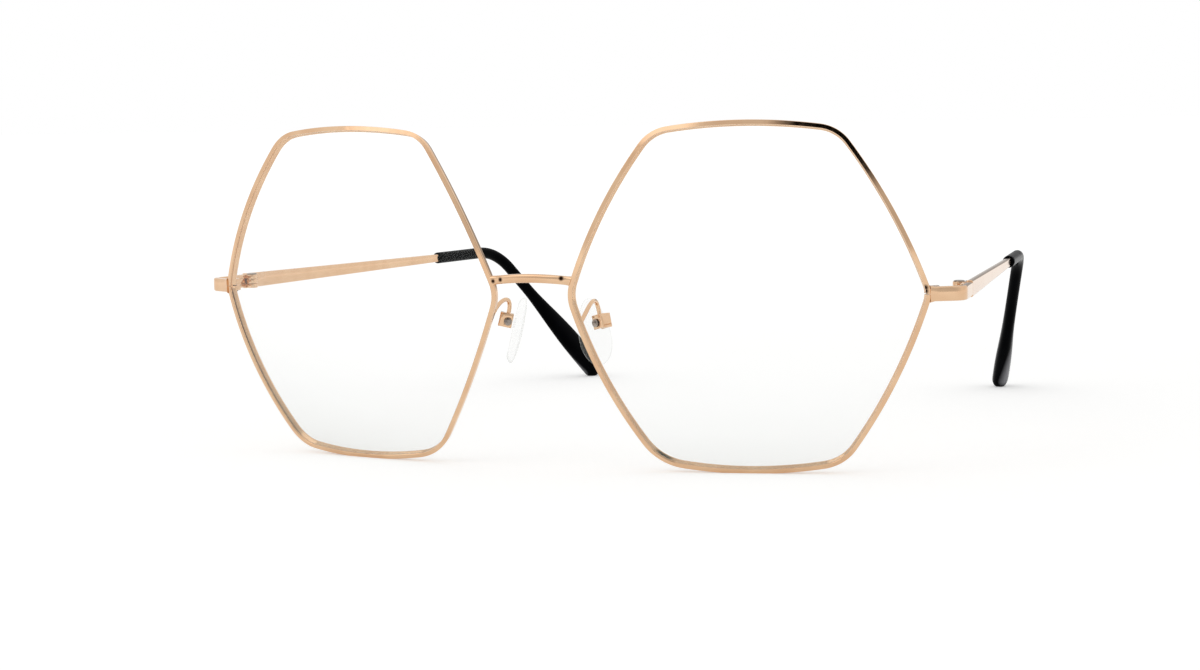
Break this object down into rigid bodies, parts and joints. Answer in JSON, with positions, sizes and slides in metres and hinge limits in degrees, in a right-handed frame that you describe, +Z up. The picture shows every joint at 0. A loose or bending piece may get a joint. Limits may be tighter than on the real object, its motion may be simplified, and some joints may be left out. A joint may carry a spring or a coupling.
{
  "type": "sunglasses",
  "caption": "Metal sunglasses with large near-clear six-sided lenses, folding temples with plastic tips and rocking nose pads, standing open.",
  "frame": {"origin": "on the table, under the middle of the overall box", "axes": "+X to the wearer's left, -Y to the front, +Z up"},
  "size_m": [0.1522, 0.1516, 0.063],
  "materials": {
    "gold_metal": "polished pale rose-gold plate on a nickel-copper alloy",
    "screw_steel": "turned steel screws",
    "clear_lens": "polished near-clear lens with a faint grey-green tint towards the bottom",
    "clear_pad": "clear soft plastic",
    "black_tip": "polished black acetate"
  },
  "bodies": {
    "front": {"rim_left": "gold_metal", "lock_upper_left": "gold_metal", "lock_lower_left": "gold_metal", "endpiece_left": "gold_metal", "hinge_front_left": "gold_metal", "pad_arm_left": "gold_metal", "pad_box_left": "gold_metal", "lock_screw_left": "screw_steel", "hinge_screw_left": "screw_steel", "pad_screw_left": "screw_steel", "lens_left": "clear_lens", "rim_right": "gold_metal", "lock_upper_right": "gold_metal", "lock_lower_right": "gold_metal", "endpiece_right": "gold_metal", "hinge_front_right": "gold_metal", "pad_arm_right": "gold_metal", "pad_box_right": "gold_metal", "lock_screw_right": "screw_steel", "hinge_screw_right": "screw_steel", "pad_screw_right": "screw_steel", "lens_right": "clear_lens", "bridge": "gold_metal"},
    "temple_left": {"hinge_rear_left": "gold_metal", "temple_bar_left": "gold_metal", "temple_tip_left": "black_tip"},
    "temple_right": {"hinge_rear_right": "gold_metal", "temple_bar_right": "gold_metal", "temple_tip_right": "black_tip"},
    "pad_left": {"nose_pad_left": "clear_pad"},
    "pad_right": {"nose_pad_right": "clear_pad"}
  },
  "joints": [
    {"name": "temple_left_fold", "type": "hinge", "parent": "front", "child": "temple_left", "pos_m": [0.07258, -0.05016, 0.03213], "axis": [0, 0, 1], "range_deg": [0, 84]},
    {"name": "temple_right_fold", "type": "hinge", "parent": "front", "child": "temple_right", "pos_m": [-0.07258, -0.05016, 0.03213], "axis": [0, 0, -1], "range_deg": [0, 80]},
    {"name": "pad_left_rock", "type": "hinge", "parent": "front", "child": "pad_left", "pos_m": [0.0094, -0.06497, 0.02636], "axis": [0.4226, 0.9063, 0], "range_deg": [-10, 10]},
    {"name": "pad_right_rock", "type": "hinge", "parent": "front", "child": "pad_right", "pos_m": [-0.0094, -0.06497, 0.02636], "axis": [-0.4226, 0.9063, 0], "range_deg": [-10, 10]}
  ]
}
